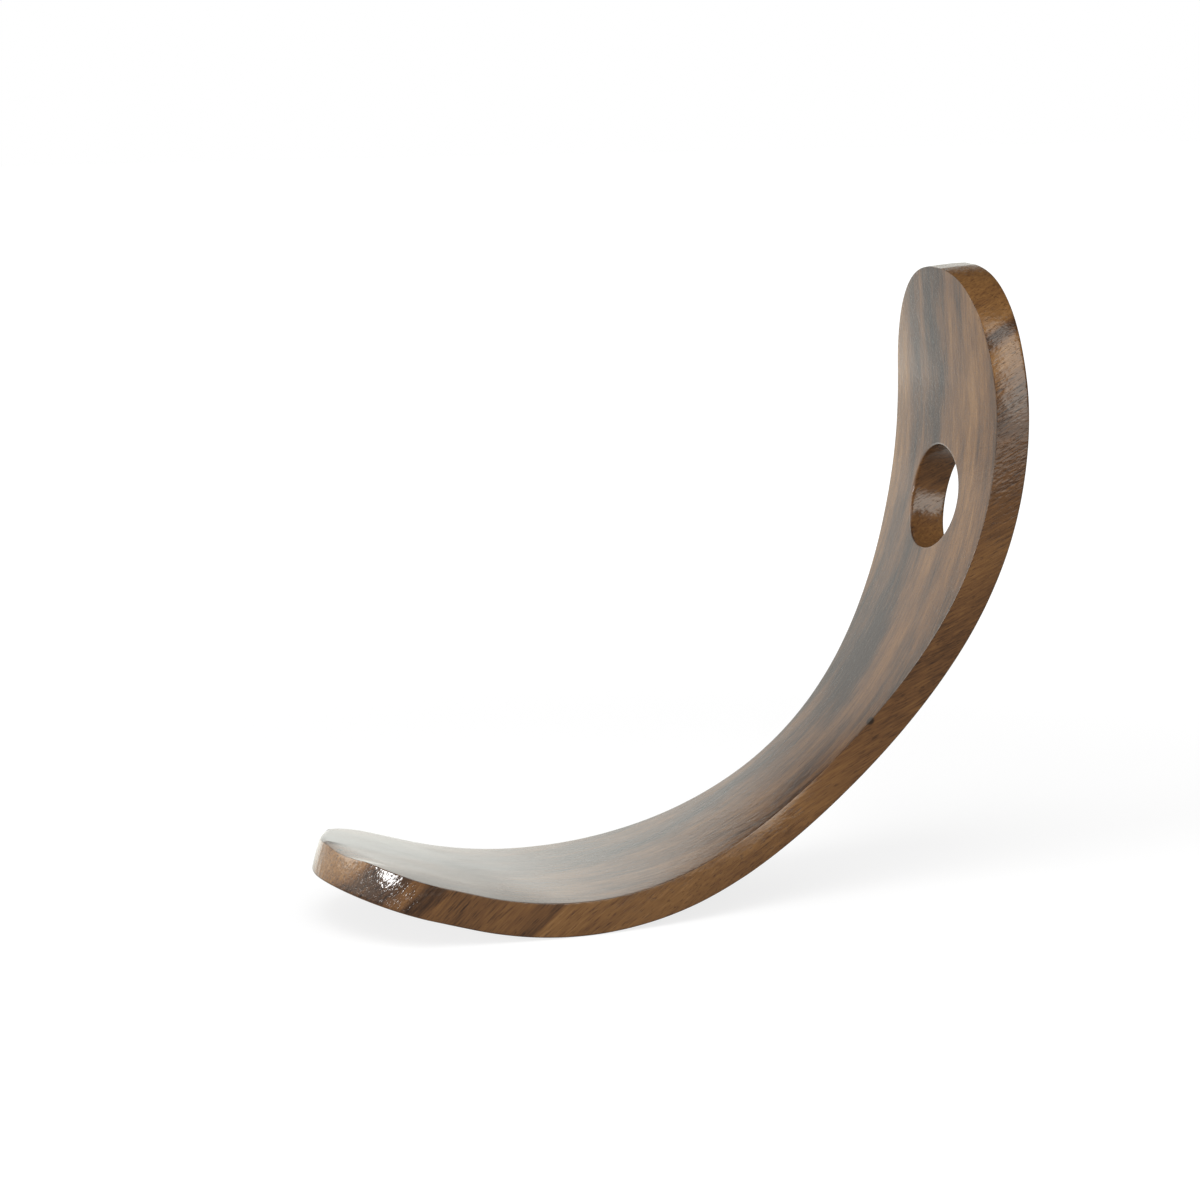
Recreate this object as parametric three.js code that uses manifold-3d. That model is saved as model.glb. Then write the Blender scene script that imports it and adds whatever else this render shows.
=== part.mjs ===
import * as THREE from 'three';
import { mergeVertices } from 'three/addons/utils/BufferGeometryUtils.js';
import Module from 'manifold-3d';

// A balancing wine bottle holder: one solid board carved to a curve, with a hole for the bottle's neck.
// Millimetres, +Z up. The board rocks up from the line where it rests: its foot reaches toward -X and
// its back climbs toward +X. The origin is the middle of the rest line, and Y = 0 is the mirror plane.

// Side profile of the inner face, from the foot to the top
const footLength = 43.5;
const footTurn = THREE.MathUtils.degToRad(16.1);
const baseRadius = 133.4;
const baseTurn = THREE.MathUtils.degToRad(28.3);
const backRadius = 155.3;
const backTurn = THREE.MathUtils.degToRad(65.9);
const topLength = 38.6;

// Thickness of the board, which swells a little from the waist to the top
const boardThickness = 12.1;
const topThickness = 12.8;

// Outline of the board laid flat: two lobes joined by a waist halfway along
const lobeWidth = 83.4;
const waistWidth = 49.2;
const waistReach = 134.4;
const waistSharpness = 2.88;

// Rounded ends of the outline, each a superellipse
const footRoundLength = 28.9;
const footRoundPower = 1.8;
const topRoundLength = 52.7;
const topRoundPower = 2.37;

// Neck hole, square to the face
const holeDiameter = 36.2;
const holeToTop = 80.4;
const holeSides = 64;

// Edges: crisp on the inner face, softer underneath
const faceEdgeRadius = 0.5;
const underEdgeRadius = 0.8;
const edgeDivisions = 2;

// Facets: the rest line is the middle of one flat facet
const facetLength = 5.6;
const endSteps = 14;
const firstEndAngle = THREE.MathUtils.degToRad(4);

// Profile: two straight runs with two arcs between them
const baseArc = baseRadius * (footTurn + baseTurn);
const backArc = backRadius * backTurn;
const boardLength = footLength + baseArc + backArc + topLength;
const restStation = footLength + baseRadius * footTurn;
const waistStation = boardLength / 2;
const holeStation = boardLength - holeToTop;
const runs = [
  { length: footLength, bend: 0 },
  { length: baseArc, bend: 1 / baseRadius },
  { length: backArc, bend: 1 / backRadius },
  { length: topLength, bend: 0 },
];

// Point and heading of the inner face at a distance along the board, measured from the foot's tip
function faceAt(station) {
  const point = new THREE.Vector2(0, 0);
  let heading = -footTurn;
  let left = station;
  for (const run of runs) {
    const step = Math.min(left, run.length);
    const nextHeading = heading + step * run.bend;
    if (run.bend === 0) {
      point.x += step * Math.cos(heading);
      point.y += step * Math.sin(heading);
    } else {
      point.x += (Math.sin(nextHeading) - Math.sin(heading)) / run.bend;
      point.y += (Math.cos(heading) - Math.cos(nextHeading)) / run.bend;
    }
    heading = nextHeading;
    left -= step;
  }
  return { point, heading };
}

function thicknessAt(station) {
  const swell = THREE.MathUtils.clamp((station - waistStation) / (boardLength - waistStation), 0, 1);
  return THREE.MathUtils.lerp(boardThickness, topThickness, swell);
}

// Place in the room of a point on the flat board: along it, across it and above its underside
function placeOnBoard(station, across, height) {
  const { point, heading } = faceAt(station);
  const thickness = thicknessAt(station);
  const depth = thickness * (1 - height / boardThickness);
  return new THREE.Vector3(
    point.x + depth * Math.sin(heading),
    across,
    point.y - depth * Math.cos(heading),
  );
}

// Half the board's width between its rounded ends
function halfWidthAt(station) {
  const offset = Math.abs(station - waistStation) / waistReach;
  if (offset >= 1) return lobeWidth / 2;
  const dip = Math.cos((Math.PI / 2) * offset) ** waistSharpness;
  return (lobeWidth - (lobeWidth - waistWidth) * dip) / 2;
}

// One end of the outline: its stations crowd toward the tip, where the curve turns fastest
function endOutline(length, power, toStation) {
  const points = [];
  for (let step = 0; step <= endSteps; step += 1) {
    const angle = THREE.MathUtils.lerp(firstEndAngle, Math.PI / 2, step / endSteps);
    const station = toStation(length * (1 - Math.cos(angle)));
    const rounding = (1 - Math.cos(angle) ** power) ** (1 / power);
    points.push(new THREE.Vector2(station, halfWidthAt(station) * rounding));
  }
  return points;
}

// The outline's +Y side from tip to tip, with a facet centred on the rest line
function sideOutline() {
  const foot = endOutline(footRoundLength, footRoundPower, (distance) => distance);
  const top = endOutline(topRoundLength, topRoundPower, (distance) => boardLength - distance);
  const between = [];
  const firstFacet = Math.ceil((footRoundLength - restStation) / facetLength);
  for (let facet = firstFacet; ; facet += 1) {
    const station = restStation + (facet + 0.5) * facetLength;
    if (station > boardLength - topRoundLength - facetLength / 2) break;
    between.push(new THREE.Vector2(station, halfWidthAt(station)));
  }
  return [...foot, ...between, ...top.reverse()];
}

// Outward normals of the outline, each square to the chord between its neighbours
function outlineNormals(points) {
  return points.map((point, index) => {
    const before = points[index - 1] ?? new THREE.Vector2(point.x, -point.y);
    const after = points[index + 1] ?? new THREE.Vector2(point.x, -point.y);
    const chord = after.clone().sub(before).normalize();
    return new THREE.Vector2(-chord.y, chord.x);
  });
}

// Section of the board: a rectangle with its four edges rounded
function boardSection(halfSection) {
  const section = new THREE.Shape();
  const under = underEdgeRadius;
  const face = faceEdgeRadius;
  section.absarc(halfSection - under, under, under, -Math.PI / 2, 0, false);
  section.absarc(halfSection - face, boardThickness - face, face, 0, Math.PI / 2, false);
  section.absarc(face - halfSection, boardThickness - face, face, Math.PI / 2, Math.PI, false);
  section.absarc(under - halfSection, under, under, Math.PI, 1.5 * Math.PI, false);
  return section;
}

// The board: its section is extruded through every station, then each vertex is drawn in to the
// outline, keeping its inset from the side, and bent round the profile
function boardGeometry() {
  const outline = sideOutline();
  const normals = outlineNormals(outline);
  const halfSection = waistWidth / 2;
  const geometry = new THREE.ExtrudeGeometry(boardSection(halfSection), {
    depth: outline.length - 1,
    steps: outline.length - 1,
    curveSegments: edgeDivisions,
    bevelEnabled: false,
  });
  const position = geometry.getAttribute('position');
  for (let index = 0; index < position.count; index += 1) {
    const side = Math.sign(position.getX(index));
    const inset = halfSection - Math.abs(position.getX(index));
    const stop = Math.round(position.getZ(index));
    const edge = outline[stop].clone().addScaledVector(normals[stop], -inset);
    const place = placeOnBoard(edge.x, side * edge.y, position.getY(index));
    position.setXYZ(index, place.x, place.y, place.z);
  }
  return geometry;
}

// The drill for the neck hole, square to the face and longer than the board is thick
function holeGeometry() {
  const { heading } = faceAt(holeStation);
  const geometry = new THREE.CylinderGeometry(
    holeDiameter / 2,
    holeDiameter / 2,
    topThickness * 3,
    holeSides,
  );
  const middle = placeOnBoard(holeStation, 0, boardThickness / 2);
  geometry.rotateX(Math.PI / 2);
  geometry.rotateY(-heading);
  geometry.translate(middle.x, middle.y, middle.z);
  return geometry;
}

const wasm = await Module();
wasm.setup();

function toSolid(geometry) {
  const bare = geometry.clone();
  bare.deleteAttribute('normal');
  bare.deleteAttribute('uv');
  const merged = mergeVertices(bare, 1e-4);
  return new wasm.Manifold(new wasm.Mesh({
    numProp: 3,
    vertProperties: new Float32Array(merged.getAttribute('position').array),
    triVerts: new Uint32Array(merged.getIndex().array),
  }));
}

function toGeometry(solid) {
  const mesh = solid.getMesh();
  const geometry = new THREE.BufferGeometry();
  geometry.setAttribute('position', new THREE.BufferAttribute(mesh.vertProperties, 3));
  geometry.setIndex(new THREE.BufferAttribute(mesh.triVerts, 1));
  geometry.computeVertexNormals();
  return geometry;
}

// Oiled and lacquered tropical hardwood
const wood = new THREE.MeshStandardMaterial({
  color: new THREE.Color(0.17, 0.085, 0.038),
  roughness: 0.38,
  metalness: 0,
});

const drilled = toSolid(boardGeometry()).subtract(toSolid(holeGeometry()));
const curvedStand = new THREE.Mesh(toGeometry(drilled), wood);
curvedStand.name = 'curved_stand';

// The underside's rest facet is brought to Z = 0 with its middle at the origin
const restHeel = placeOnBoard(restStation - facetLength / 2, 0, 0);
const restToe = placeOnBoard(restStation + facetLength / 2, 0, 0);
curvedStand.position.copy(restHeel.add(restToe).divideScalar(-2));

const holder = new THREE.Group();
holder.add(curvedStand);

export default holder;
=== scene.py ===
import math

import bmesh
import bpy
from mathutils import Matrix, Vector


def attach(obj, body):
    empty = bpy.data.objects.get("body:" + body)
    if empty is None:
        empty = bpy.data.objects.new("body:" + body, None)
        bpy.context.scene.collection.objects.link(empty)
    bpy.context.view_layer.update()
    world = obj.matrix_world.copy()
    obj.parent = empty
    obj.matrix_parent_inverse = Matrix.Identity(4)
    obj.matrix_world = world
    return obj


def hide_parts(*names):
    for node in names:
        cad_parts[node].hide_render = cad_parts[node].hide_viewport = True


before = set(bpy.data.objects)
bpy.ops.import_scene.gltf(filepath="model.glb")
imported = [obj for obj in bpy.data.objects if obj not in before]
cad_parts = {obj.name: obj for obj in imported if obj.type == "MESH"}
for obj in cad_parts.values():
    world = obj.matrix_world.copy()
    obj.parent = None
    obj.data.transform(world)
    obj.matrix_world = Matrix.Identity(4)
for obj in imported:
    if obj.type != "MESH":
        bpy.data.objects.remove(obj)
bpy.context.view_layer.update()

# The holder: one board of dark striped hardwood, carved from a solid block, drilled with one
# round hole, sanded and lacquered. It is drawn flat here, with its waisted outline, is rounded
# and drilled, and is then curved to its side profile.
MM = 0.001
foot_length = 43.5 * MM
foot_turn = math.radians(16.1)
base_radius = 133.4 * MM
base_turn = math.radians(28.3)
back_radius = 155.3 * MM
back_turn = math.radians(65.9)
top_length = 38.6 * MM
base_arc = base_radius * (foot_turn + base_turn)
back_arc = back_radius * back_turn
board_length = foot_length + base_arc + back_arc + top_length
board_thickness = 12.1 * MM
top_thickness = 12.75 * MM
lobe_width = 83.4 * MM
waist_width = 49.2 * MM
waist_reach = 134.4 * MM
waist_sharpness = 2.88
foot_round, foot_power = 28.9 * MM, 1.8
top_round, top_power = 52.7 * MM, 2.37
hole_radius = 18.1 * MM
hole_station = board_length - 80.4 * MM
face_edge_radius = 0.2 * MM
under_edge_radius = 0.8 * MM
hole_edge_radius = 0.7 * MM

# Sanding by hand has crowned its inner face and its sides, and has worn the crease along its near
# side, at -Y, most of all by the foot. The foot's tip has fallen a little on its near half, and
# its edge is worn round from the middle toward the far side.
foot_crown, top_crown = 0.264 * MM, 1.5 * MM
crown_off_edge = 0.1
side_crown = 0.25 * MM
crease_wear, foot_crease_wear = 0.14 * MM, 0.42 * MM
tip_radius = 44 * MM
tip_fall, tip_fall_length = 1.2 * MM, 10 * MM
tip_fall_middle, tip_fall_reach = -11 * MM, 13 * MM
tip_wear, tip_steepest = 2.6 * MM, 0.97
tip_wear_middle, tip_wear_reach = 11 * MM, 17 * MM
tip_round_side = -4 * MM
wave_length, wave_height, wave_level = 28 * MM, 0.16 * MM, 0.75

# How closely the board is drawn, and how near a point counts as being at a place
rim_width = 3 * MM
collar_width = 1.5 * MM
end_columns, first_end_degrees = 14, 4
rows = 16
hole_columns = 8
top_gap_columns = 2
hole_patch = hole_radius + collar_width
patch_share = 0.51
near = 0.02 * MM


def half_width(station):
    offset = abs(station - board_length / 2) / waist_reach
    if offset >= 1:
        return lobe_width / 2
    dip = math.cos(math.pi / 2 * offset) ** waist_sharpness
    return (lobe_width - (lobe_width - waist_width) * dip) / 2


def rounded_end(round_length, power, station_at):
    """One end of the outline, its points crowded toward the tip, where it turns fastest."""
    points = []
    for step in range(end_columns + 1):
        degrees = first_end_degrees + (90 - first_end_degrees) * step / end_columns
        angle = math.radians(degrees)
        station = station_at(round_length * (1 - math.cos(angle)))
        rounding = (1 - max(math.cos(angle), 0) ** power) ** (1 / power)
        points.append(Vector((station, half_width(station) * rounding)))
    return points


def spread(first, last, cells):
    stations = [first + (last - first) * step / cells for step in range(1, cells)]
    return [Vector((station, half_width(station))) for station in stations]


hole_start = hole_station - hole_patch
hole_end = hole_station + hole_patch
long_columns = round((hole_start - foot_round) / (2 * hole_patch) * hole_columns)
outline = rounded_end(foot_round, foot_power, lambda distance: distance)
outline += spread(foot_round, hole_start, long_columns)
outline += [Vector((hole_start, half_width(hole_start)))]
outline += spread(hole_start, hole_end, hole_columns)
outline += [Vector((hole_end, half_width(hole_end)))]
outline += spread(hole_end, board_length - top_round, top_gap_columns)
outline += reversed(rounded_end(top_round, top_power, lambda distance: board_length - distance))


def drawn_in(points, distance):
    """The outline moved in square to itself, as for a rim."""
    moved = []
    for index, point in enumerate(points):
        before = points[index - 1] if index > 0 else point * Vector((1, -1))
        after = points[index + 1] if index + 1 < len(points) else point * Vector((1, -1))
        run = (after - before).normalized()
        moved.append(point + distance * Vector((run.y, -run.x)))
    return moved


crease_outline = drawn_in(outline, side_crown)
inner_outline = drawn_in(outline, rim_width)

bpy.ops.object.select_all(action="DESELECT")
bpy.ops.mesh.primitive_grid_add(x_subdivisions=len(outline) - 1, y_subdivisions=rows, size=2)
board = bpy.context.object
board.name = "carved_board"
bpy.ops.object.mode_set(mode="EDIT")


def pick(kind, test):
    """Selects the board's verts, edges or faces that pass the test, and nothing else."""
    bpy.ops.mesh.select_all(action="DESELECT")
    mesh = bmesh.from_edit_mesh(board.data)
    for item in getattr(mesh, kind):
        if test(item):
            item.select_set(True)
    mesh.select_flush_mode()
    bmesh.update_edit_mesh(board.data)


def draw_columns(from_points, to_points, test):
    """Slides each crosswise column of points along the board and widens it to its new outline."""
    for old, new in zip(from_points, to_points):
        pick("verts", lambda vert: test(vert) and abs(vert.co.x - old.x) < near)
        bpy.ops.transform.translate(value=(new.x - old.x, 0, 0))
        bpy.ops.transform.resize(value=(1, new.y / old.y, 1), center_override=(new.x, 0, 0))


# Every column of the plain grid goes to its place on the inner outline, aside from the grid so
# that no column passes another, and the rim is then drawn out from it
aside = Vector((2, 0))
grid_points = [Vector((2 * index / (len(outline) - 1) - 1, 1)) for index in range(len(outline))]
draw_columns(grid_points, [point + aside for point in inner_outline], lambda vert: True)
bpy.ops.mesh.select_all(action="SELECT")
bpy.ops.transform.translate(value=(-aside.x, 0, 0))
pick("edges", lambda edge: edge.is_boundary)
bpy.ops.mesh.extrude_edges_move(TRANSFORM_OT_translate={"value": (0, 0, 0)})
rim = [point + aside for point in crease_outline]
draw_columns(inner_outline, rim, lambda vert: vert.is_boundary)
pick("verts", lambda vert: vert.is_boundary)
bpy.ops.transform.translate(value=(-aside.x, 0, 0))

# The hole: a patch of faces comes out, its edge is drawn round, and a narrow collar is left
hole_middle = Vector((hole_station, 0, 0))
hole_zone = hole_patch * 1.6


def in_hole_patch(face):
    reach = max(abs(vert.co.y) / (half_width(vert.co.x) - rim_width) for vert in face.verts)
    along = abs(face.calc_center_median().x - hole_station)
    return along < hole_patch and reach < patch_share


def in_hole(vert):
    return (vert.co.xy - hole_middle.xy).length < hole_zone


def near_hole(edge):
    return in_hole(edge.verts[0]) and in_hole(edge.verts[1])


pick("faces", in_hole_patch)
bpy.ops.mesh.delete(type="FACE")
pick("edges", lambda edge: edge.is_boundary and near_hole(edge))
bpy.ops.transform.tosphere(value=1)
loop = [vert.co.copy() for vert in bmesh.from_edit_mesh(board.data).verts if vert.select]
middle = sum(loop, Vector()) / len(loop)
widen = hole_patch / (max(point.x for point in loop) - min(point.x for point in loop)) * 2
bpy.ops.transform.resize(value=(widen, widen, 1), center_override=middle)
bpy.ops.transform.translate(value=(hole_station - middle.x, 0, 0))
bpy.ops.mesh.extrude_edges_move(TRANSFORM_OT_translate={"value": (0, 0, 0)})
draw_in = hole_radius / hole_patch
bpy.ops.transform.resize(value=(draw_in, draw_in, 1), center_override=hole_middle)

# The flat sheet gets its thickness in two steps, and the ring between them stands out a little
# round the board
bpy.ops.mesh.select_all(action="SELECT")
under = Vector((0, 0, -board_thickness))
bpy.ops.mesh.extrude_region_move(TRANSFORM_OT_translate={"value": under / 2})
bpy.ops.mesh.extrude_region_move(TRANSFORM_OT_translate={"value": under / 2})
bpy.ops.mesh.select_all(action="SELECT")
bpy.ops.mesh.normals_make_consistent(inside=False)
pick("verts", lambda vert: abs(vert.co.z - under.z / 2) < near and not in_hole(vert))
bpy.ops.transform.shrink_fatten(value=side_crown)


def on_wall(edge, height):
    level = all(abs(vert.co.z - height) < near for vert in edge.verts)
    return level and any(abs(face.normal.z) < 0.5 for face in edge.link_faces)


def round_edges(radius, segments):
    bpy.ops.mesh.bevel(
        offset=radius, offset_type="OFFSET", segments=segments, profile=0.5, clamp_overlap=False
    )


# The drill goes straight through the curve, so the hole's far edge is a little narrower along
# the board before it is bent. All the edges are then eased: crisp round the inner face, softer
# underneath.
pick("edges", lambda edge: on_wall(edge, under.z) and near_hole(edge))
bend_shrink = back_radius / (back_radius + top_thickness)
bpy.ops.transform.resize(value=(bend_shrink, 1, 1), center_override=hole_middle + under)
round_edges(hole_edge_radius, 2)
pick("edges", lambda edge: on_wall(edge, 0) and near_hole(edge))
round_edges(hole_edge_radius, 2)
pick("edges", lambda edge: on_wall(edge, 0) and not near_hole(edge))
round_edges(face_edge_radius, 2)
pick("edges", lambda edge: on_wall(edge, under.z) and not near_hole(edge))
round_edges(under_edge_radius, 3)
bpy.ops.object.mode_set(mode="OBJECT")

finer = board.modifiers.new("finer", "SUBSURF")
finer.levels = finer.render_levels = 2
bpy.ops.object.modifier_apply(modifier="finer")

# The sides, and the crease round the inner face, are told from the two broad faces by their
# slope while the board is still flat
crease_least_slope, crease_most_slope = 0.04, 0.9


def slope_of(vert):
    return 1 - abs(vert.normal.z)


def on_crease(vert):
    rounded = vert.co.x < tip_wear_reach and vert.co.y > tip_round_side
    sharp = crease_least_slope < slope_of(vert) < crease_most_slope
    at_face = vert.co.z > -face_edge_radius
    return at_face and sharp and not rounded and not in_hole(vert)


side_cut = board.data.attributes.new("side_cut", "FLOAT", "POINT")
side_cut.data.foreach_set("value", [slope_of(vert) for vert in board.data.vertices])
crease = board.data.attributes.new("crease", "FLOAT", "POINT")
crease.data.foreach_set("value", [float(on_crease(vert)) for vert in board.data.vertices])

# It swells a little from the waist to the top, and is sanded. What is sanded off or left on at
# the face fades through the thickness to nothing underneath.


def nearness(across, middle, reach):
    """One at a place across the board, and nothing at its reach and beyond."""
    return max(1 - ((across - middle) / reach) ** 2, 0)


def face_change(place):
    """How far the inner face stands above its plain level, with its crown and its wear."""
    toward_top = place.x / board_length
    half = half_width(place.x)
    crown = foot_crown + (top_crown - foot_crown) * toward_top
    change = crown * (1 - crown_off_edge - (place.y / half) ** 2)
    toward_crease = max(-2 * place.y / half - 1, 0)
    worn = max(foot_crease_wear * (1 - 2 * toward_top), crease_wear)
    change -= worn * toward_crease ** 2
    from_tip = tip_radius - math.hypot(place.x - tip_radius, place.y)
    if place.x < tip_radius:
        near_tip = min(max(1 - from_tip / tip_fall_length, 0), 1)
        fall = tip_fall * nearness(place.y, tip_fall_middle, tip_fall_reach)
        change -= fall * near_tip ** 2
    if place.x < tip_wear_reach:
        wear = tip_wear * nearness(place.y, tip_wear_middle, tip_wear_reach)
        bite = min(max(wear - max(from_tip, 0), 0), tip_steepest * wear)
        change -= wear - math.sqrt(wear ** 2 - bite ** 2)
    return change


for vert in board.data.vertices:
    toward_face = 1 + vert.co.z / board_thickness
    toward_end = max(2 * vert.co.x / board_length - 1, 0)
    vert.co.z *= 1 + toward_end * (top_thickness / board_thickness - 1)
    vert.co.z += toward_face * face_change(vert.co)

# It is bent along two arcs, the back first. A bend modifier curves in the XY plane, so the
# board stands on its edge for it.
board.data.transform(Matrix.Rotation(math.radians(-90), 4, "X"))
for start, arc, turn in (
    (foot_length + base_arc, back_arc, back_turn),
    (foot_length, base_arc, foot_turn + base_turn),
):
    board.data.transform(Matrix.Translation((-start, 0, 0)))
    stations = [vert.co.x for vert in board.data.vertices]
    low, high = min(stations), max(stations)
    bend = board.modifiers.new("bend", "SIMPLE_DEFORM")
    bend.deform_method = "BEND"
    bend.deform_axis = "Z"
    bend.angle = turn
    bend.limits = (-low / (high - low), (arc - low) / (high - low))
    bpy.ops.object.modifier_apply(modifier="bend")
    board.data.transform(Matrix.Translation((start, 0, 0)))
board.data.transform(Matrix.Rotation(math.radians(90), 4, "X"))

# Its foot tips up, and the lowest line of its underside comes to the origin
board.data.transform(Matrix.Rotation(foot_turn, 4, "Y"))
arc_centre = Matrix.Rotation(foot_turn, 3, "Y") @ Vector((foot_length, 0, base_radius))
rest_height = base_radius + board_thickness
board.data.transform(Matrix.Translation((-arc_centre.x, 0, rest_height - arc_centre.z)))

# The hand-sanded faces are never quite true. The waves are mostly cut into the wood, and the
# board is set down again afterwards.
waviness = bpy.data.textures.new("sanding_waves", "CLOUDS")
waviness.noise_scale = wave_length
waves = board.modifiers.new("waves", "DISPLACE")
waves.texture = waviness
waves.texture_coords = "LOCAL"
waves.strength = wave_height
waves.mid_level = wave_level
bpy.ops.object.modifier_apply(modifier="waves")
lowest = min(vert.co.z for vert in board.data.vertices)
board.data.transform(Matrix.Translation((0, 0, -lowest)))
bpy.ops.object.shade_smooth()

# The wood's grain runs from the foot toward the top, steeply at first and then more level, so
# its growth layers lie in a sweep that turns at one place
wood = bpy.data.materials.new("lacquered_hardwood")
wood.use_nodes = True
gloss = wood.node_tree.nodes["Principled BSDF"]
grain_angle = math.radians(40)
sweep_place, sweep_reach = -4 * MM, 30 * MM
sweep_turn, sweep_lean = 0.18, 0.03
grain_reach, bend_reach, width_reach = (-60, 260), (0, 260), (-45, 45)


def add_node(tree, kind, feeds=(), **settings):
    """Adds a node, sets its properties or inputs, and links or sets what feeds it."""
    made = tree.nodes.new(kind)
    for name, value in settings.items():
        if hasattr(made, name):
            setattr(made, name, value)
        else:
            made.inputs[name].default_value = value
    for socket, value in dict(feeds).items():
        if isinstance(value, bpy.types.NodeSocket):
            tree.links.new(value, made.inputs[socket])
        else:
            made.inputs[socket].default_value = value
    return made


def wood_node(kind, feeds=(), **settings):
    return add_node(wood.node_tree, kind, feeds, **settings)


def sum_of(first, second, third=0.0):
    """First times second plus third."""
    feeds = {0: first, 1: second, 2: third}
    return wood_node("ShaderNodeMath", feeds, operation="MULTIPLY_ADD").outputs[0]


def blend(share, first, second):
    """The first level where the share is none, and the second where it is one."""
    return wood_node("ShaderNodeMix", {0: share, 2: first, 3: second}).outputs[0]


def laid_over(share, under, over):
    """One colour laid over another, as far as the share says."""
    feeds = {0: share, 6: under, 7: over}
    return wood_node("ShaderNodeMix", feeds, data_type="RGBA").outputs[2]


def spanned(value, start, end, low, high):
    """A level that goes evenly from low to high as the value goes from start to end."""
    feeds = {0: value, 1: start, 2: end, 3: low, 4: high}
    return wood_node("ShaderNodeMapRange", feeds).outputs[0]


def stretched(place, scale, **settings):
    """Noise drawn out along the grain: its scale is along the grain, across it and through it."""
    laid = wood_node("ShaderNodeMapping", {"Vector": place, "Scale": scale})
    noise = wood_node("ShaderNodeTexNoise", {"Vector": laid.outputs[0], "Scale": 1}, **settings)
    return noise.outputs[0]


def ramp(factor, stops):
    """Colours or grey levels along a factor. Each stop is a place and its colour or level."""
    made = wood_node("ShaderNodeValToRGB", {"Fac": factor})
    points = made.color_ramp.elements
    while len(points) < len(stops):
        points.new(0.5)
    for point, (place, colour) in zip(points, stops):
        point.position = place
        point.color = (*colour, 1) if isinstance(colour, tuple) else (colour, colour, colour, 1)
    return made.outputs[0]


def levels_by(distance, low, high, levels):
    """A level at each distance in millimetres, for distances between low and high."""
    along = spanned(distance, low * MM, high * MM, 0.0, 1.0)
    return ramp(along, [((at - low) / (high - low), level) for at, level in levels])


place = wood_node("ShaderNodeTexCoord").outputs["Object"]
turned = wood_node(
    "ShaderNodeMapping", {"Vector": place, "Rotation": (0, grain_angle, 0)}
).outputs[0]
along_grain, across_board, square_up = wood_node("ShaderNodeSeparateXYZ", {0: turned}).outputs
from_sweep = sum_of(along_grain, 1.0, -sweep_place)
swept = wood_node(
    "ShaderNodeMath", {0: sum_of(from_sweep, from_sweep, sweep_reach ** 2)}, operation="SQRT"
).outputs[0]
layer_height = sum_of(square_up, 1.0, -sweep_turn * sweep_reach)
across_grain = sum_of(from_sweep, sweep_lean, sum_of(swept, sweep_turn, layer_height))
grain_place = wood_node(
    "ShaderNodeCombineXYZ", {0: along_grain, 1: across_board, 2: across_grain}
).outputs[0]
sides = wood_node("ShaderNodeAttribute", attribute_name="side_cut").outputs["Fac"]
on_sides = wood_node(
    "ShaderNodeMapRange", {0: sides}, interpolation_type="SMOOTHSTEP"
).outputs[0]

# On the two faces the growth layers are seen edge-on, as lengthwise stripes that lean toward the
# far side along the bend. There it is darker by the crease and on the far half: partly darker
# wood, partly painted shade of a bottle that lay across the bend.
lean = levels_by(along_grain, *grain_reach, (
    (0, 0.35), (40, 0.8), (90, 0.5), (160, 0.3), (220, 0.0),
))
stripe_drift, stripe_lean = 7 * MM, -9 * MM
face_drift = stretched(turned, (13, 40, 20), Detail=3.0, Roughness=0.6)
drifted = sum_of(face_drift, stripe_drift, sum_of(lean, stripe_lean, across_board))
face_layers = levels_by(drifted, -50, 48, (
    (-37, 0.44), (-30, 0.60), (-23, 0.74), (-13, 0.52), (-6, 0.66), (-1, 0.48), (6, 0.15),
    (14, 0.18), (19, 0.46), (24, 0.28), (30, 0.48), (35, 0.76), (46, 0.72),
))
stripe_depth = levels_by(along_grain, *grain_reach, ((0, 0.7), (60, 0.4), (110, 0.35), (180, 1.0)))
striped = sum_of(sum_of(face_layers, 1.0, -0.45), stripe_depth, 0.45)
face_lines = stretched(turned, (30, 400, 40), Detail=4.0, Roughness=0.6)
face_patches = stretched(turned, (30, 110, 40), Detail=3.0)
patch_depth = levels_by(along_grain, *grain_reach, ((0, 0.6), (70, 0.95)))
near_crease = levels_by(across_board, *width_reach, ((-26, 1.0), (-18, 0.8), (-8, 0.0)))
along_bend = levels_by(along_grain, *bend_reach, ((50, 0.0), (100, 1.0), (170, 1.0), (205, 0.0)))
far_half = levels_by(across_board, *width_reach, ((-10, 0.0), (2, 1.0)))
upper_bend = levels_by(along_grain, *bend_reach, ((110, 0.0), (130, 1.0), (155, 1.0), (175, 0.0)))
# How much darker the bend is by the crease and on the far half: darker wood and painted shade
bend_tone_and_shade = -0.22
face_tone = sum_of(face_lines, 0.8, sum_of(striped, 1.0, -0.45))
face_tone = sum_of(sum_of(face_patches, 1.0, -0.5), patch_depth, face_tone)
face_tone = sum_of(sum_of(near_crease, along_bend), bend_tone_and_shade, face_tone)
face_tone = sum_of(sum_of(far_half, upper_bend), bend_tone_and_shade, face_tone)

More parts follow.
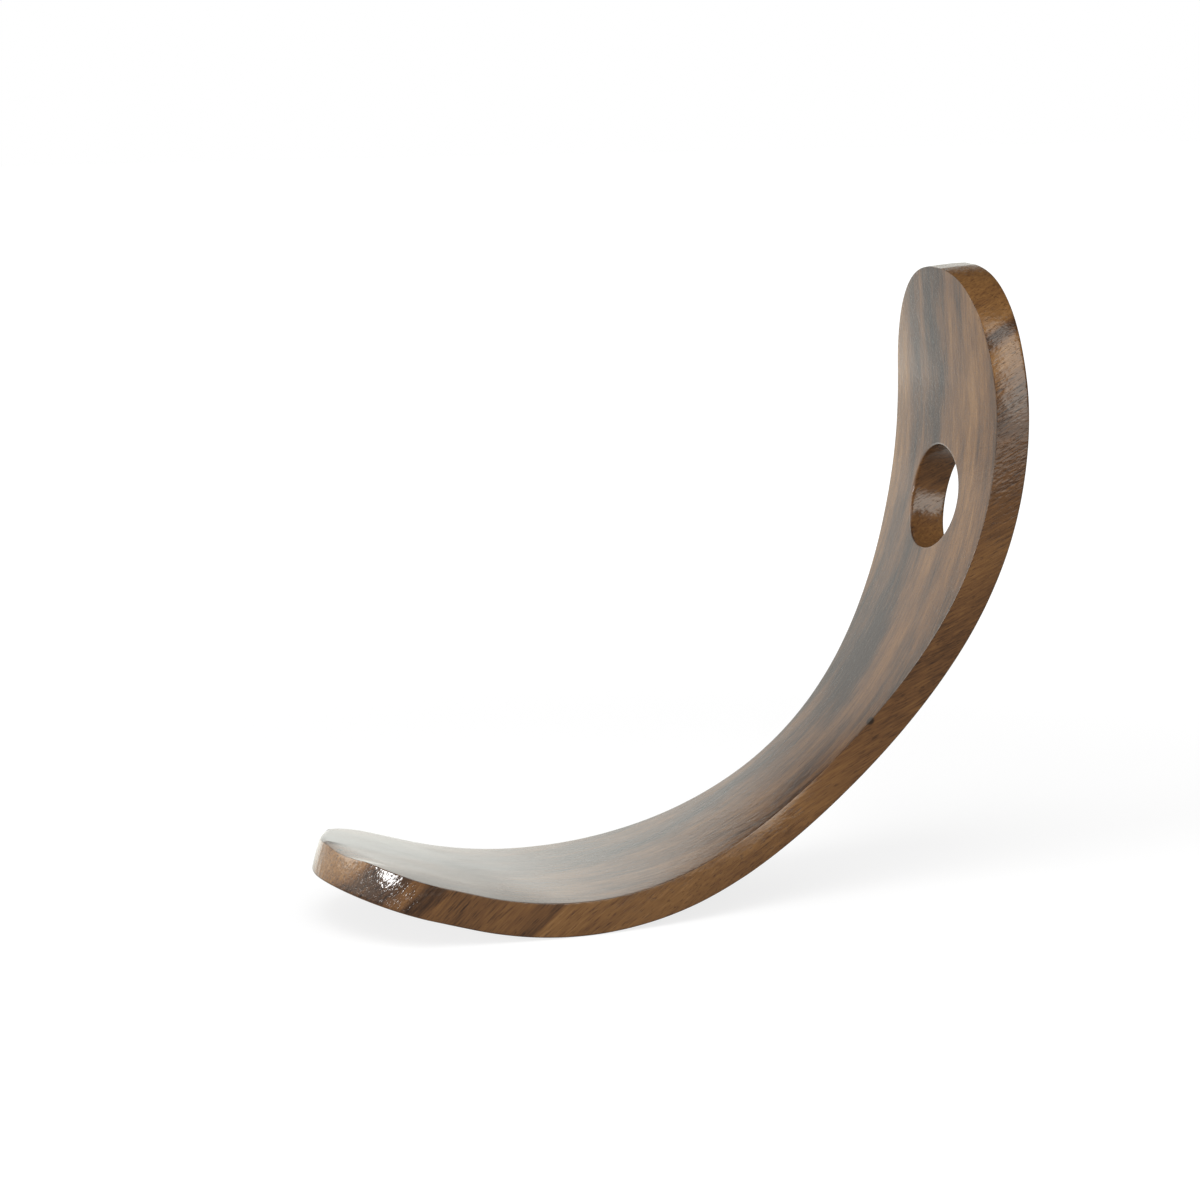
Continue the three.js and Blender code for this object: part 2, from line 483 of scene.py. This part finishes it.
# On the sides the layers are cut aslant, along the grain: these from the foot to the bend, and
# those from the bend to the top
layer_drift = 4 * MM
side_drift = stretched(grain_place, (16, 40, 60), Detail=3.0, Roughness=0.6)
slanted = sum_of(sum_of(side_drift, 1.0, -0.5), layer_drift, across_grain)
front_layers = levels_by(slanted, -30, 76, (
    (-19, 0.50), (-9.5, 0.66), (2, 0.54), (11, 0.70), (13, 0.64), (14.8, 0.18), (17, 0.36),
    (25.6, 0.53), (35, 0.38), (45.9, 0.46), (47.6, 0.16), (52.2, 0.10), (54, 0.42),
    (56.6, 0.38), (58.2, 0.10), (66, 0.10), (68.5, 0.62), (71, 0.76),
))
back_layers = levels_by(slanted, -30, 119, (
    (-19, 0.50), (-7, 0.42), (11, 0.34), (23, 0.42), (33.6, 0.58), (38.1, 0.44), (50.1, 0.38),
    (63.1, 0.32), (76.1, 0.22), (81.2, 0.32), (87.2, 0.58), (95.2, 0.78), (97.2, 0.20),
    (100.2, 0.16), (102.2, 0.74), (110.2, 0.52), (113.2, 0.62),
))
toward_back = spanned(along_grain, 85 * MM, 115 * MM, 0.0, 1.0)
side_layers = blend(toward_back, front_layers, back_layers)

# Streaks and short dark dashes lie between the layers, and fade out where the wood is calm
lively = stretched(grain_place, (30, 30, 45), Detail=2.0)
streak_depth = spanned(lively, 0.4, 0.6, 0.1, 0.45)
side_streaks = stretched(grain_place, (100, 190, 480), Detail=4.0, Roughness=0.6)
dashes = ramp(stretched(grain_place, (140, 500, 2000), Detail=1.0), ((0.60, 0.0), (0.70, 1.0)))
side_tone = sum_of(sum_of(side_streaks, 1.0, -0.5), streak_depth, 0.10)
side_tone = sum_of(side_layers, 0.95, side_tone)
side_tone = sum_of(sum_of(dashes, streak_depth), -0.6, side_tone)
broad_tone = blend(on_sides, face_tone, side_tone)

# Fine fibres run through faces and sides alike, with open pores between them
face_fibres = stretched(turned, (110, 1300, 180), Detail=3.0, Roughness=0.7)
side_fibres = stretched(grain_place, (90, 700, 1500), Detail=2.0, Roughness=0.6)
fibres = blend(on_sides, face_fibres, side_fibres)
tone = sum_of(fibres, 0.7, sum_of(broad_tone, 1.0, -0.35))
wood_colour = ramp(tone, (
    (0.00, (0.020, 0.009, 0.005)),
    (0.25, (0.060, 0.028, 0.012)),
    (0.50, (0.122, 0.056, 0.020)),
    (0.75, (0.190, 0.092, 0.030)),
    (1.00, (0.270, 0.145, 0.055)),
))
pores = stretched(grain_place, (220, 2300, 2300), Detail=1.0)
pore_mask = ramp(pores, ((0.60, 0.0), (0.70, 1.0)))
pore_brown = (0.022, 0.010, 0.006, 1)
pored = laid_over(sum_of(pore_mask, 0.5), wood_colour, pore_brown)

# A small knot sits on the crease along the bend. Near the foot's tip a small pit is painted as a
# dark spot: its hollow is not cut, so its dark is painted shade.


def near_spot(middle, core, reach):
    """One within core millimetres of a place, fading to nothing at reach."""
    middle_at = Vector(middle) * MM
    away = wood_node(
        "ShaderNodeVectorMath", {0: place, 1: middle_at}, operation="DISTANCE"
    ).outputs["Value"]
    return spanned(away, core * MM, reach * MM, 1.0, 0.0)


knot = near_spot((106.8, -25.4, 62.8), 1.2, 1.9)
pit_shade = near_spot((-75.7, -7.7, 28.1), 0.8, 1.4)
knot_and_pit_shade = sum_of(knot, 1.0, pit_shade)
knot_and_pit_shade_brown = (0.010, 0.006, 0.004, 1)
knot_and_pit_shaded = laid_over(sum_of(knot_and_pit_shade, 0.9), pored, knot_and_pit_shade_brown)

# Along the crease round the inner face a thin dark line is painted, a painted dark reflection in
# the crease's narrow rounding, with a few pale flecks that are painted glints
on_edge = wood_node("ShaderNodeAttribute", attribute_name="crease").outputs["Fac"]
crease_glint_noise = wood_node("ShaderNodeTexNoise", {"Vector": place}, Scale=170.0, Detail=2.0).outputs[0]
crease_shade_and_glints = ramp(crease_glint_noise, (
    (0.60, (0.030, 0.013, 0.006)),
    (0.66, (0.160, 0.085, 0.040)),
))
crease_painted = laid_over(sum_of(on_edge, 0.75), knot_and_pit_shaded, crease_shade_and_glints)
wood.node_tree.links.new(crease_painted, gloss.inputs["Base Color"])

# The bare wood is satin, and the clear coat over it is glossy
satin = ramp(fibres, ((0.25, 0.50), (0.75, 0.40)))
wood.node_tree.links.new(satin, gloss.inputs["Roughness"])
gloss.inputs["Specular IOR Level"].default_value = 0.1
gloss.inputs["Coat Weight"].default_value = 1.0
gloss.inputs["Coat Roughness"].default_value = 0.08
gloss.inputs["Coat IOR"].default_value = 1.5

# The lacquer has sunk a little into the pores and lies in tiny ripples, most at both ends of the
# sides, where the end grain drank it, and least on the flat foot
ripples = stretched(grain_place, (450, 900, 900), Detail=1.0)
face_relief = levels_by(along_grain, *grain_reach, ((0, 0.2), (70, 0.6)))
side_relief = levels_by(along_grain, *grain_reach, ((0, 1.0), (30, 0.3), (165, 0.3), (200, 0.9)))
relief_depth = blend(on_sides, face_relief, side_relief)
surface = sum_of(pore_mask, -0.25, sum_of(fibres, 0.25, ripples))
relief = wood_node(
    "ShaderNodeBump",
    {"Height": sum_of(surface, relief_depth), "Strength": 1.0, "Distance": 0.1 * MM},
).outputs[0]
wood.node_tree.links.new(relief, gloss.inputs["Normal"])
wood.node_tree.links.new(relief, gloss.inputs["Coat Normal"])
board.data.materials.append(wood)

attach(board, "root")
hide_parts("curved_stand")

# The white table: one wide plane that keeps the holder's shadow. Near the holder part of its
# white is lit, and so shows the shadow. Farther off it is all glow, a plain white ground.
bpy.ops.mesh.primitive_plane_add(size=8, location=(0, 0, 0))
table = bpy.context.object
table.name = "white_table"
table_white = bpy.data.materials.new("table_white")
table_white.use_nodes = True
table_white.node_tree.nodes.clear()
lit_grey = (0.27, 0.27, 0.27, 1)
plain_grey = (0.8, 0.8, 0.8, 1)
mirrored_white = (0.98, 1, 0.95, 1)


def table_node(kind, feeds=(), **settings):
    return add_node(table_white.node_tree, kind, feeds, **settings)


def fading(node, value, start, end, low, high):
    """A brightness that fades softly from low to high as the value goes from start to end."""
    feeds = {0: value, 1: start, 2: end, 3: low, 4: high}
    return node("ShaderNodeMapRange", feeds, interpolation_type="SMOOTHSTEP").outputs[0]


def by_ray(node, seen, mirrored, plain):
    """One shader to look at, one for the reflections and a plain one for all other light."""
    rays = node("ShaderNodeLightPath").outputs
    looked_at = node(
        "ShaderNodeMath",
        {0: rays["Is Camera Ray"], 1: rays["Is Transmission Ray"]},
        operation="MAXIMUM",
    ).outputs[0]
    unseen = node("ShaderNodeMixShader", {0: rays["Is Glossy Ray"], 1: plain, 2: mirrored})
    return node(
        "ShaderNodeMixShader", {0: looked_at, 1: unseen.outputs[0], 2: seen}
    ).outputs[0]


table_place = table_node("ShaderNodeNewGeometry").outputs["Position"]
away = table_node("ShaderNodeVectorMath", {0: table_place}, operation="LENGTH").outputs["Value"]
glow_level = fading(table_node, away, 0.3, 0.9, 0.78, 1.0)
table_glow = table_node("ShaderNodeEmission", {"Strength": glow_level}).outputs[0]
table_lit = table_node("ShaderNodeBsdfDiffuse", {"Color": lit_grey}).outputs[0]
table_seen = table_node("ShaderNodeAddShader", {0: table_glow, 1: table_lit}).outputs[0]
table_plain = table_node("ShaderNodeBsdfDiffuse", {"Color": plain_grey}).outputs[0]

# What the lacquer reflects of it is dimmer in front of the holder and off to both sides, and is
# bright again well out in front
table_sides = table_node("ShaderNodeSeparateXYZ", {0: table_place}).outputs
front_level = fading(table_node, table_sides["Y"], -0.05, 0.25, 0.13, 1.05)
left_level = fading(table_node, table_sides["X"], -0.28, -0.05, 0.75, 1.5)
right_level = fading(table_node, table_sides["X"], 0.0, 0.12, 1.05, 0.84)
far_front_level = fading(table_node, table_sides["Y"], -0.6, -1.0, 0.0, 1.6)
across_level = table_node(
    "ShaderNodeMath", {0: left_level, 1: right_level}, operation="MULTIPLY"
).outputs[0]
mirror_level = table_node(
    "ShaderNodeMath", {0: front_level, 1: across_level, 2: far_front_level},
    operation="MULTIPLY_ADD",
).outputs[0]
table_mirrored = table_node(
    "ShaderNodeEmission", {"Strength": mirror_level, "Color": mirrored_white}
).outputs[0]
table_surface = by_ray(table_node, table_seen, table_mirrored, table_plain)
table_node("ShaderNodeOutputMaterial", {"Surface": table_surface})
table.data.materials.append(table_white)

# The room: an even white surround, with one bright wall in front and a little to the right,
# which also lights the board
room = bpy.data.worlds.new("studio")
bpy.context.scene.world = room
room.use_nodes = True
room.node_tree.nodes.clear()
white = (1, 1, 1, 1)
even_light, wall_light = 0.36, 0.5


def room_node(kind, feeds=(), **settings):
    return add_node(room.node_tree, kind, feeds, **settings)


def room_math(operation, first, second, third=0.0):
    feeds = {0: first, 1: second, 2: third}
    return room_node("ShaderNodeMath", feeds, operation=operation).outputs[0]


direction = room_node("ShaderNodeTexCoord").outputs["Generated"]
heading = room_node("ShaderNodeSeparateXYZ", {0: direction}).outputs


def toward(aim):
    """How far a direction points the same way as the aim."""
    return room_node(
        "ShaderNodeVectorMath", {0: direction, 1: aim}, operation="DOT_PRODUCT"
    ).outputs["Value"]


def bright_wall(azimuth, elevation, core, reach, level):
    """A soft bright part of the surround: full within core degrees, gone beyond reach."""
    turn, rise = math.radians(azimuth), math.radians(elevation)
    middle = (
        math.cos(rise) * math.cos(turn), math.cos(rise) * math.sin(turn), math.sin(rise)
    )
    gone, full = math.cos(math.radians(reach)), math.cos(math.radians(core))
    return fading(room_node, toward(middle), gone, full, 0.0, level)


def left_of(azimuth):
    """How far a direction lies to the left of an azimuth, as seen from inside the room."""
    turn = math.radians(azimuth + 90)
    return toward((math.cos(turn), math.sin(turn), 0))


whole_wall = bright_wall(-63, 18, 8, 46, 3.5)
wall_start = fading(room_node, left_of(-72), -0.03, 0.12, 0.0, 1.0)
wall_right = room_math("MULTIPLY", whole_wall, wall_start)
wall_end = fading(room_node, left_of(-55), 0.10, -0.04, 0.0, 1.0)
bright_right = room_math("MULTIPLY", wall_right, wall_end)

# What the lacquer reflects of the room is dimmer from the front, from overhead and high on the
# right, and has a small bright part behind on the left, which shows on the foot's worn tip
bright_left = bright_wall(149, 24, 8, 20, 5.0)
bright_parts = room_math("ADD", bright_right, bright_left)
front_dim = fading(room_node, heading["Y"], -0.35, 0.15, 0.2, 1.0)
left_to_right = fading(room_node, heading["X"], -0.14, 0.05, 0.92, 1.36)
far_left_more = fading(room_node, heading["X"], -0.33, -0.22, 0.16, 0.0)
far_right_less = fading(room_node, heading["X"], 0.335, 0.385, 0.0, 0.44)
high_dim = fading(room_node, heading["Z"], 0.39, 0.58, 1.0, 0.06)
high_right_dim = fading(room_node, toward((0.69, 0, 0.72)), 0.45, 0.55, 1.0, 0.15)
top_dim = room_math("MULTIPLY", high_dim, high_right_dim)
side_level = room_math("ADD", left_to_right, far_left_more)
side_level = room_math("SUBTRACT", side_level, far_right_less)
mirrored_level = room_math("MULTIPLY", room_math("MULTIPLY", front_dim, side_level), top_dim)
room_lit = room_node(
    "ShaderNodeBackground",
    {"Strength": room_math("MULTIPLY_ADD", wall_right, wall_light, even_light)}, Color=white,
).outputs[0]
room_mirrored = room_node(
    "ShaderNodeBackground", {"Strength": room_math("ADD", mirrored_level, bright_parts)},
    Color=mirrored_white,
).outputs[0]
room_seen = room_node("ShaderNodeBackground", Color=white, Strength=1.0).outputs[0]
room_surface = by_ray(room_node, room_seen, room_mirrored, room_lit)
room_node("ShaderNodeOutputWorld", {"Surface": room_surface})

# Two soft boxes: a small oval one low on the left, whose reflection shows on the foot's rounded
# end, and a broad one above
light_aim = Vector((0.02, 0, 0.08))
for name, shape, place_at, width, height, power in (
    ("left_softbox", "ELLIPSE", (-1.16, -0.38, 0.33), 0.48, 0.26, 8.5),
    ("top_softbox", "RECTANGLE", (-0.35, -0.75, 1.25), 0.90, 0.90, 11),
):
    bpy.ops.object.light_add(type="AREA", location=place_at)
    softbox = bpy.context.object
    softbox.name = name
    softbox.data.shape = shape
    softbox.data.size = width
    softbox.data.size_y = height
    softbox.data.energy = power
    aim = light_aim - softbox.location
    softbox.rotation_euler = aim.to_track_quat("-Z", "Y").to_euler()

# The camera stands in front of the holder, a little above it and to its left, with a long lens
camera_place = (-0.4258, -1.2540, 0.3352)
view_middle = Vector((0.0184, 0, 0.1054))
bpy.ops.object.camera_add(location=camera_place)
camera = bpy.context.object
camera.data.lens = 120
camera.data.sensor_width = 36
camera.data.clip_start = 0.05
view = view_middle - camera.location
camera.rotation_euler = view.to_track_quat("-Z", "Y").to_euler()
bpy.context.scene.camera = camera
bpy.context.scene.view_settings.view_transform = "Standard"
